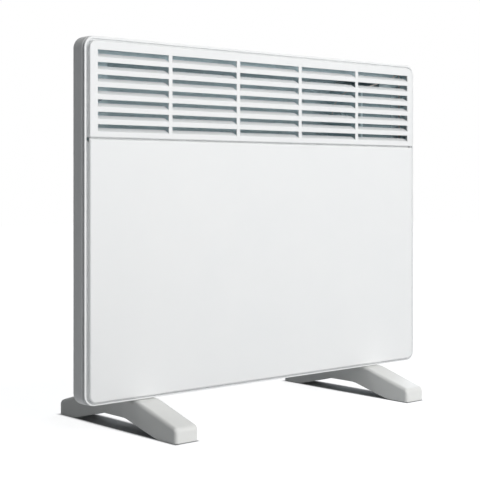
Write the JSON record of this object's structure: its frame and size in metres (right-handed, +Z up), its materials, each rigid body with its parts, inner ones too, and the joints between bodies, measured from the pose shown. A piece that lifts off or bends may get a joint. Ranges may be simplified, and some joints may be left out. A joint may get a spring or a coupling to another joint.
{
  "type": "wall panel convector heater",
  "caption": "Slim electric panel convector heater with a louvred warm-air outlet along the top of its front, a plain panel below, end-mounted controls and two low cross feet.",
  "frame": {"origin": "on the floor, midway between the two feet and midway along them", "axes": "+Z up, the front faces -Y, and +X is the right-hand end with the controls, as seen from the front"},
  "size_m": [0.595, 0.2524, 0.4865],
  "materials": {
    "casing_paint": "white satin powder coat on sheet steel",
    "zinc_sheet": "bare zinc-coated sheet",
    "plated_steel": "bright zinc plating",
    "element_aluminium": "extruded, dull",
    "white_ceramic": "unglazed",
    "black_plastic": "satin",
    "control_plastic": "white, satin",
    "foot_plastic": "off-white with a fine moulded texture",
    "pad_rubber": "matte",
    "lead_sleeve": "pale silicone sleeving",
    "copper_tube": "drawn copper"
  },
  "bodies": {
    "heater": {"front_frame": "casing_paint", "outlet_grille": "casing_paint", "front_panel": "casing_paint", "rear_tray": "casing_paint", "rear_box": "casing_paint", "back_screw_1": "plated_steel", "back_screw_2": "plated_steel", "back_screw_3": "plated_steel", "back_screw_4": "plated_steel", "back_screw_5": "plated_steel", "back_screw_6": "plated_steel", "back_screw_7": "plated_steel", "back_screw_8": "plated_steel", "heat_shield": "zinc_sheet", "air_deflector": "zinc_sheet", "control_partition": "zinc_sheet", "control_cover": "zinc_sheet", "heating_element": "element_aluminium", "thermal_cutout": "black_plastic", "element_bracket_left": "zinc_sheet", "element_insulator_left": "white_ceramic", "element_pin_left": "plated_steel", "element_bracket_right": "zinc_sheet", "element_insulator_right": "white_ceramic", "element_pin_right": "plated_steel", "control_plate": "control_plastic", "thermostat_body": "black_plastic", "capillary_tube": "copper_tube", "sensor_bulb": "copper_tube", "switch_housing_upper": "black_plastic", "switch_housing_lower": "black_plastic", "cable_bush": "black_plastic", "terminal_block": "white_ceramic", "cutout_lead": "lead_sleeve", "element_lead_left": "lead_sleeve", "element_lead_right": "lead_sleeve", "supply_lead": "lead_sleeve", "foot_left": "foot_plastic", "foot_pad_left_front": "pad_rubber", "foot_pad_left_rear": "pad_rubber", "foot_screw_left_front": "plated_steel", "foot_screw_left_rear": "plated_steel", "foot_right": "foot_plastic", "foot_pad_right_front": "pad_rubber", "foot_pad_right_rear": "pad_rubber", "foot_screw_right_front": "plated_steel", "foot_screw_right_rear": "plated_steel"},
    "thermostat_dial": {"thermostat_shaft": "plated_steel", "thermostat_knob": "control_plastic"},
    "upper_rocker": {"switch_rocker_upper": "black_plastic"},
    "lower_rocker": {"switch_rocker_lower": "black_plastic"}
  },
  "joints": [
    {"name": "thermostat_turn", "type": "hinge", "parent": "heater", "child": "thermostat_dial", "pos_m": [0.262, 0.00925, 0.3415], "axis": [-1, 0, 0], "range_deg": [-135, 135]},
    {"name": "upper_switch_tip", "type": "hinge", "parent": "heater", "child": "upper_rocker", "pos_m": [0.251, 0.00925, 0.2835], "axis": [0, -1, 0], "range_deg": [0, 22]},
    {"name": "lower_switch_tip", "type": "hinge", "parent": "heater", "child": "lower_rocker", "pos_m": [0.251, 0.00925, 0.2455], "axis": [0, -1, 0], "range_deg": [0, 22]}
  ]
}
